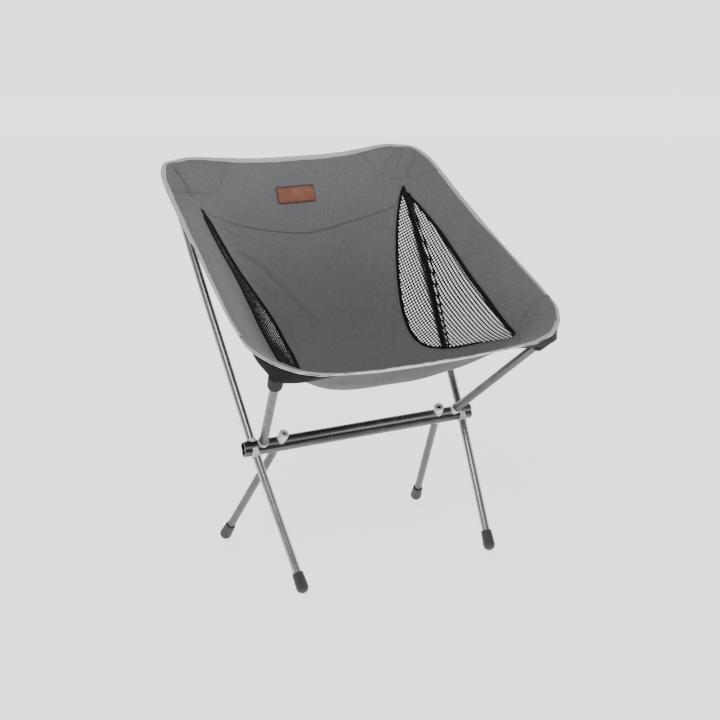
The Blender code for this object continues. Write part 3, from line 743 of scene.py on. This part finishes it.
def line(*places, count=200):
    """A straight track of places through the given corners."""
    places = np.array(places, float)
    t = np.linspace(0, len(places) - 1, count)
    at = np.arange(len(places))
    return np.interp(t, at, places[:, 0]), np.interp(t, at, places[:, 1])


# The binding's folded section in mm: its outside, then back along its inside.
FOLD = ((8.6, 1.15), (6.6, 1.50), (4.6, 1.60), (2.6, 1.60), (1.1, 1.35), (0.2, 0.75), (-0.1, 0.0),
        (0.2, -0.75), (1.1, -1.35), (2.6, -1.60), (4.6, -1.60), (6.6, -1.50), (8.6, -1.15))
LINING = ((8.5, -0.55), (6.6, -0.80), (2.6, -0.85), (1.0, -0.5), (0.75, 0.0), (1.0, 0.5), (2.6, 0.85),
          (6.6, 0.80), (8.5, 0.55))
BINDING_OUTLINE = [(x * MM, y * MM) for x, y in FOLD + LINING]


def rim_frames(a, b):
    """Points of the rim with the direction into the cloth and its normal."""
    path = sling(a, b)
    up = normals(a, b)
    tangent = unit(np.gradient(path, axis=0))
    inside = sling(a * 0.93, 0.5 + (b - 0.5) * 0.93) - path
    inward = unit(inside - tangent * np.sum(inside * tangent, 1)[:, None])
    up = unit(up - inward * np.sum(up * inward, 1)[:, None] - tangent * np.sum(up * tangent, 1)[:, None])
    return path, inward, up


def binding(name, places, material, thread_material):
    """A length of folded edge binding and its row of stitches."""
    a, b = even(*places)
    path, inward, up = rim_frames(a, b)
    far = lengths_along(path)
    sway = 0.00025 * (np.sin(far * 190) + np.sin(far * 83 + 1.7))
    path = path + inward * sway[:, None]
    band = swept(name, path, inward, up, BINDING_OUTLINE, material)
    rows = []
    for sign in (1, -1):
        rows.append(stitches("%s_stitches_%s" % (name, "top" if sign > 0 else "under"),
                             path + inward * 6.6 * MM + up * sign * 1.45 * MM, up * sign, thread_material,
                             pitch=3.4 * MM, length=2.4 * MM, radius=0.24 * MM))
    return band, rows


def place(obj, body=ROOT, blend=None, replaces=()):
    """Put a finished piece on its body, or, when given a blend, leave it unparented with its transform baked."""
    if blend:
        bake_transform(obj)
    else:
        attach(obj, body)
    if replaces:
        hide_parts(*replaces)
    return obj


def corner_blend(side, label, corner, at_front):
    """The name of a corner's pocket, and the stretch of cloth from its seam to the pole's tip."""
    kind = "front" if at_front else "rear"
    low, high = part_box("%s_tip_%s" % (kind, label))
    tip = np.array((low + high) / 2)
    a, b = corner_places(side, corner, at_front, 25)
    arc = sling(np.concatenate([a[-1, :], a[:, -1]]), np.concatenate([b[-1, :], b[:, -1]]))
    toward = unit(tip - arc.mean(0))
    start = tip - toward * ((tip - arc) @ toward).min()
    return "%s_pocket_%s" % (kind, label), tuple(start), tuple(tip)


def make_sling():
    cloth = melange("melange_cloth", (0.135, 0.135, 0.140), (0.215, 0.215, 0.222))
    # The cloth's underside: a darker copy of the same melange, painted shade.
    shaded_underside = melange("coated_underside", (0.036, 0.036, 0.038), (0.062, 0.062, 0.064))
    black = black_textile("black_pocket_cloth", (0.010, 0.010, 0.011))
    tape_black = black_textile("black_seam_tape", (0.006, 0.006, 0.007), rib=700)
    net = black_textile("black_mesh", (0.012, 0.012, 0.013))
    light = binding_tape("binding_tape")
    # Seam thread: real stitching, kept darker than the cloth so that it also stands in for painted seam shade.
    grey_thread = thread("grey_thread", (0.15, 0.15, 0.155))
    black_thread = thread("black_thread", (0.02, 0.02, 0.022))
    pale_thread = thread("pale_thread", (0.50, 0.48, 0.46))

    a, b = span(back_edge, lambda s: 0 * s, lambda s: yoke(s * YOKE_SHARE), 64, 150)
    back = panel("back_cloth", a, b, cloth, {"bottom": "over"}, underside=shaded_underside)
    place(back, replaces=("back_panel",))
    a, b = span(seat_edge, lambda s: yoke(s * YOKE_SHARE), lambda s: 0 * s + 1, 210, 120)
    seat = panel("seat_cloth", a, b, cloth, {"top": "under", "start": "over", "end": "over"}, underside=shaded_underside)
    place(seat, replaces=("seat_panel",))
    yoke_a, _ = even(*line((-YOKE_SHARE, 0.0), (YOKE_SHARE, 0.0)))
    place(seam_line("yoke_stitches", yoke_a, yoke(yoke_a), grey_thread, offset=-2.2 * MM, lift=0.9 * MM))

    for side, label in SIDES:
        make_side(side, label, (cloth, shaded_underside), net, tape_black, grey_thread, black_thread)
        for corner, at_front in ((REAR_CORNER, False), (FRONT_CORNER, True)):
            make_corner(side, label, corner, at_front, (cloth, shaded_underside), black, light, grey_thread, pale_thread)
        rear_b, front_b = REAR_CORNER[1], 1 - FRONT_CORNER[1]
        band, rows = binding("binding_tape_side_" + label, line((side, rear_b), (side, front_b)), light, pale_thread)
        place(band, replaces=("binding_side_" + label,))
        for row in rows:
            place(row)
    rear_a, front_a = 1 - REAR_CORNER[0], 1 - FRONT_CORNER[0]
    for name, places, node, size, on in (
            ("top", line((-rear_a, 0.0), (rear_a, 0.0)), "binding_top", (0.018, 0.245), "back_cloth"),
            ("front", line((-front_a, 1.0), (front_a, 1.0)), "binding_front", (0.018, 0.325), "seat_cloth")):
        band, rows = binding("binding_tape_" + name, places, light, pale_thread)
        place(band, replaces=(node,))
        for row in rows:
            place(row)
    make_patch()


def make_side(side, label, cloth, net, tape_black, grey_thread, black_thread):
    """One side's cloth and mesh, with the mesh's stitches, its tape and piping, and its seam allowances."""
    a, b = side_places(side, 150, 44)
    flip = side < 0
    obj = panel("side_cloth_" + label, a, b, cloth[0], {"start": "over"}, flip=flip, underside=cloth[1])
    place(obj, replaces=("side_panel_" + label,))
    obj = make_net(side, label, net)
    for name, curve, offset in (("inner", inner_seam[side], -2.6 * MM), ("outer", outer_seam[side], 2.6 * MM)):
        b = np.linspace(APEX[side][0] + 0.004, TOE_B - 0.004, 300)
        a, b = even(side * curve(b), b)
        row = seam_line("mesh_%s_stitches_%s" % (name, label), a, b, grey_thread, offset=offset * side, lift=0.9 * MM)
        place(row)
    half = (3.2 if side > 0 else 2.2) * MM / ACROSS_M
    track, low, high = tape_seam[side], TAPE[side][0][0], TAPE[side][-1][0]
    for name, shift, wide, curve, start, end, stood_for in (
            ("mesh_tape_wide_", 0.0, 1.0, track, low, high, ("seam_tape_" + label,)),
            ("mesh_tape_narrow_", 2.05, 0.30, track, low + 0.03, high, ()),
            ("mesh_piping_", 0.9, 0.40, inner_seam[side], low + 0.005, 0.80, ())):
        a, b = strip(side, lambda v: curve(v) + half * (shift - wide), lambda v: curve(v) + half * (shift + wide),
                     start, end, 120, 5)
        crown = 1.2 * MM + 0.5 * MM * np.sin(np.linspace(0, math.pi, 5))[None, :] + 0 * a
        tape = new_object(name + label, cloth_points(a, b, crown).reshape(-1, 3), grid_faces(120, 5, flip), tape_black)
        set_uv(tape, warp_uv(a, b))
        thicken(tape, 0.9 * MM)
        place(tape, replaces=stood_for)
    cover = 5.2 * MM / ACROSS_M
    for name, curve in (("inner", inner_seam[side]), ("outer", outer_seam[side])):
        a, b = strip(side, lambda v: curve(v) - cover, lambda v: curve(v) + cover,
                     APEX[side][0] + 0.01, TOE_B - 0.02, 160, 5)
        allowance = new_object("mesh_%s_allowance_%s" % (name, label), cloth_points(a, b, -1.9 * MM).reshape(-1, 3),
                               grid_faces(160, 5, flip), tape_black)
        set_uv(allowance, warp_uv(a, b))
        thicken(allowance, 0.6 * MM)
        place(allowance)
    tape = bpy.data.objects["mesh_tape_wide_" + label]
    for edge in (-1, 1):
        v = np.linspace(low + 0.01, high - 0.01, 200)
        u, v = even(side * (track(v) + half * 0.66 * edge), v)
        place(seam_line("tape_stitches_%s_%s" % (("in", "out")[edge > 0], label), u, v, black_thread,
                        lift=1.8 * MM, radius=0.35 * MM))


def make_net(side, label, material):
    """Square open mesh: each cell a frame of yarn round a real hole."""
    pitch, step, open_share = 3.6 * MM, 5.2 * MM, 0.54
    inner_edge, outer_edge = inner_seam[side], outer_seam[side]
    b_low, b_high = APEX[side][0] + 0.002, TOE_B - 0.002
    b = np.linspace(b_low, b_high, 400)
    mid = sling(side * (inner_edge(b) + outer_edge(b)) / 2, b)
    far = lengths_along(mid)
    rows = int(far[-1] / step)
    row_b = np.interp(np.linspace(0, far[-1], rows + 1), far, b)
    column_a = np.arange(0.30, 0.84, pitch / 0.272)
    grid_a = side * (column_a[None, :] + 0 * row_b[:, None])
    grid_b = row_b[:, None] + 0 * column_a[None, :]
    points = cloth_points(grid_a, grid_b, -0.8 * MM)
    inside = (np.abs(grid_a) >= inner_edge(grid_b) - 0.016) & (np.abs(grid_a) <= outer_edge(grid_b) + 0.016)
    index = {}
    verts, faces, uv = [], [], []

    def corner(i, j):
        if (i, j) not in index:
            index[i, j] = len(verts)
            verts.append(points[i, j])
            uv.append((grid_a[i, j] * ACROSS_M, grid_b[i, j] * ALONG_M))
        return index[i, j]

    for i in range(len(row_b) - 1):
        for j in range(len(column_a) - 1):
            places = ((i, j), (i, j + 1), (i + 1, j + 1), (i + 1, j))
            if not all(inside[p] for p in places):
                continue
            outer = [corner(*p) for p in places]
            middle = sum(points[p] for p in places) / 4
            hole = []
            for p in places:
                hole.append(len(verts))
                verts.append(middle + (points[p] - middle) * open_share)
                uv.append((grid_a[p] * ACROSS_M, grid_b[p] * ALONG_M))
            for k in range(4):
                m = (k + 1) % 4
                face = (outer[k], outer[m], hole[m], hole[k])
                faces.append(face if side > 0 else face[::-1])
    obj = new_object("mesh_" + label, verts, faces, material)
    set_uv(obj, uv)
    thicken(obj, 0.9 * MM)
    return place(obj, replaces=("mesh_panel_" + label,))


def make_corner(side, label, corner, at_front, cloth, black, light, grey_thread, pale_thread):
    """A corner patch, its length of binding and the pocket beneath it."""
    kind = "front" if at_front else "rear"
    blend = corner_blend(side, label, corner, at_front)
    a, b = corner_places(side, corner, at_front, 46)
    obj = panel("%s_corner_cloth_%s" % (kind, label), a, b, cloth[0], {"bottom": "over", "end": "over"},
                lift=0.35 * MM, flip=(side > 0) == at_front, underside=cloth[1])
    place(obj, blend=blend, replaces=("%s_corner_%s" % (kind, label),))
    arc_a = np.concatenate([a[-1, :], a[::-1, -1][1:]])
    arc_b = np.concatenate([b[-1, :], b[::-1, -1][1:]])
    inward = -1 if (side > 0) == at_front else 1
    row = seam_line("%s_corner_stitches_%s" % (kind, label), *even(arc_a, arc_b), grey_thread,
                    offset=2.0 * MM * inward, lift=1.1 * MM)
    place(row, blend=blend)
    low_a, low_b = 1 - corner[0], corner[1]
    if at_front:
        places = line((side, 1 - low_b), (side, 1.0), (side * low_a, 1.0), count=400)
    else:
        places = line((side * low_a, 0.0), (side, 0.0), (side, low_b), count=400)
    band, rows = binding("binding_tape_%s_%s" % (kind, label), places, light, pale_thread)
    place(band, blend=blend, replaces=("binding_%s_corner_%s" % (kind, label),))
    for piece in rows:
        place(piece, blend=blend)
    make_pocket(side, label, at_front, black)


def make_pocket(side, label, at_front, black):
    """A black funnel from the rim's underside down to its mouth round the pole."""
    kind = "front" if at_front else "rear"
    low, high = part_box("%s_tip_%s" % (kind, label))
    tip = np.array((low + high) / 2)
    low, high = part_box(("front_upright_" if at_front else "rear_upright_upper_") + label)
    axis = unit(tip - np.array((low + high) / 2))
    count, collar_radius = 48, 12.5
    if at_front:
        rim_a, rim_b = line((side, 0.89), (side, 1.0), (side * 0.83, 1.0), count=300)
    else:
        rim_a, rim_b = line((side * 0.62, 0.0), (side, 0.0), (side, 0.115), count=300)
    rim_a, rim_b = even(rim_a, rim_b, 1.0 * MM)
    take = np.linspace(0, len(rim_a) - 1, count // 2).astype(int)
    path, inward, up = rim_frames(rim_a, rim_b)
    outer = path[take] + inward[take] * 3.0 * MM - up[take] * 1.9 * MM
    inset = 0.010 + 0.024 * np.sin(np.linspace(0.2, math.pi - 0.2, count // 2))
    far_b = rim_b[take] if at_front else 1 - rim_b[take]
    far_b = np.minimum(far_b, 1 - inset / ALONG_M)
    in_a, in_b = side * np.minimum(np.abs(rim_a[take]), 1 - inset / 0.24), far_b if at_front else 1 - far_b
    inner = sling(in_a, in_b) - normals(in_a, in_b) * 2.6 * MM
    loop = np.concatenate([outer, inner[::-1]])
    e1 = unit(np.cross(axis, (0.0, 0.0, 1.0)))
    e2 = np.cross(axis, e1)
    flat = loop - loop.mean(0)
    x, y = flat @ e1, flat @ e2
    way = np.sign(np.sum(x * np.roll(y, -1) - y * np.roll(x, -1)))
    angles = np.unwrap(np.arctan2(y, x))
    angles = 0.3 * angles + 0.7 * (angles.mean() + way * 2 * math.pi * (np.arange(count) - (count - 1) / 2) / count)
    circle = np.cos(angles)[:, None] * e1 + np.sin(angles)[:, None] * e2
    collar = tip + axis * 6 * MM + circle * collar_radius * MM
    rings = []
    for t in np.linspace(0, 1, 10):
        sag = math.sin(math.pi * t) * 6.0 * MM
        rings.append(loop * (1 - t) + collar * t - np.array((0, 0, sag)))
    for t in np.linspace(0.14, 1, 8):
        rings.append(tip + axis * (6 - 37 * t) * MM + circle * (collar_radius - 1.3 * t) * MM)
    rings.append(tip - axis * 33 * MM + circle * 10.0 * MM)
    rings.append(tip - axis * 33.6 * MM + circle * 8.6 * MM)
    points = np.concatenate(rings)
    faces = []
    for i in range(len(rings) - 1):
        for j in range(count):
            k = (j + 1) % count
            faces.append((i * count + j, i * count + k, (i + 1) * count + k, (i + 1) * count + j))
    obj = new_object("%s_pocket_sleeve_%s" % (kind, label), points, faces, black)
    set_uv(obj, [(math.cos(angles[j]) * 0.01, 0.003 * i) for i in range(len(rings)) for j in range(count)])
    thicken(obj, 0.9 * MM)
    place(obj, body="%s_pocket_%s" % (kind, label), replaces=("%s_pocket_%s" % (kind, label),))


def make_patch():
    """The blank leather patch, with a soft bevelled edge and a stitched border."""
    rows, columns = 25, 53
    t, s = np.linspace(0, 1, rows)[:, None], np.linspace(0, 1, columns)[None, :]
    left, right, top, bottom = -0.19, 0.08, 0.098, 0.145
    a = left + (right - left) * s + 0 * t
    b = top + (bottom - top) * t + 0 * s
    rim = np.minimum(np.minimum(t, 1 - t) * 27 / 1.6, np.minimum(s, 1 - s) * 73 / 1.6)
    crown = 1.1 * MM + 0.9 * MM * smoothstep(rim)
    obj = new_object("leather_label", cloth_points(a, b, crown).reshape(-1, 3), grid_faces(rows, columns),
                     leather("patch_leather"))
    set_uv(obj, warp_uv(a, b))
    edge = obj.data.attributes.new("edge", "FLOAT", "POINT")
    edge.data.foreach_set("value", (1 - smoothstep(rim / 2.4)).astype(np.float32).ravel())
    thicken(obj, 1.6 * MM, -1)
    place(obj, replaces=("leather_patch",))
    inset_a, inset_b = 0.011, 0.0045
    left, right, top, bottom = left + inset_a, right - inset_a, top + inset_b, bottom - inset_b
    corners = ((left, top), (right, top), (right, bottom), (left, bottom), (left, top))
    a, b = even(*line(*corners, count=401), step=1.0 * MM)
    row = seam_line("leather_label_stitches", a, b, thread("tan_thread", (0.30, 0.17, 0.09)), lift=2.0 * MM,
                    pitch=3.0 * MM, length=2.1 * MM, radius=0.25 * MM)
    place(row)


# ---------------------------------------------------------------- carried-over CAD nodes

def paint(node, material):
    """Give a CAD node one material."""
    obj = frame["nodes"][node]
    obj.data.materials.clear()
    obj.data.materials.append(material)


def finish_metal():
    """Metal, nylon, rubber and cord finishes for the CAD nodes that show."""
    paint("crossbar", bar_metal("bar_anodised"))
    nylon = moulded("pale_nylon", (0.62, 0.62, 0.59), (0.78, 0.78, 0.75), 0.4, 500)
    rubber = moulded("foot_rubber", (0.022, 0.022, 0.023), (0.050, 0.050, 0.052), 0.62, 700)
    plug = moulded("tip_rubber", (0.03, 0.03, 0.03), (0.06, 0.06, 0.06), 0.7, 600)
    elastic = braid("shock_cord_braid")
    for side, label in SIDES:
        for joint in frame["joints"]:
            if not joint["name"].endswith("_pull_" + label):
                continue
            kind = joint["name"][:-len("_pull_" + label)]
            glossy = kind in ("front_leg", "rear_upright")
            if glossy:
                look_of = ((0.30, 0.30, 0.305), (0.42, 0.42, 0.425), 0.24, 420)
            else:
                look_of = ((0.105, 0.105, 0.100), (0.150, 0.150, 0.143), 0.40, 260)
            material = drawn_tube("tube_%s_%s" % (kind, label), joint["axis"], *look_of)
            for node in (kind + "_" + label, "rear_upright_lower_" + label, "rear_upright_upper_" + label):
                if node in frame["nodes"] and kind in node:
                    paint(node, material)
            if kind == "rear_upright":
                paint("ferrule_" + label, drawn_tube("ferrule_tube_" + label, joint["axis"], (0.30, 0.30, 0.30),
                                                     (0.45, 0.45, 0.45), 0.35, 260))
        for node in ("rear_upright_bushing_", "front_leg_bushing_", "front_upright_socket_", "rear_leg_socket_"):
            paint(node + label, nylon)
        for node in ("front_foot_", "rear_foot_"):
            paint(node + label, rubber)
        for node in ("rear_tip_", "front_tip_"):
            paint(node + label, plug)
        for node in ("long_shock_cord_", "front_shock_cord_", "rear_shock_cord_"):
            paint(node + label, elastic)


make_camera()
make_stage()
make_sling()
finish_metal()
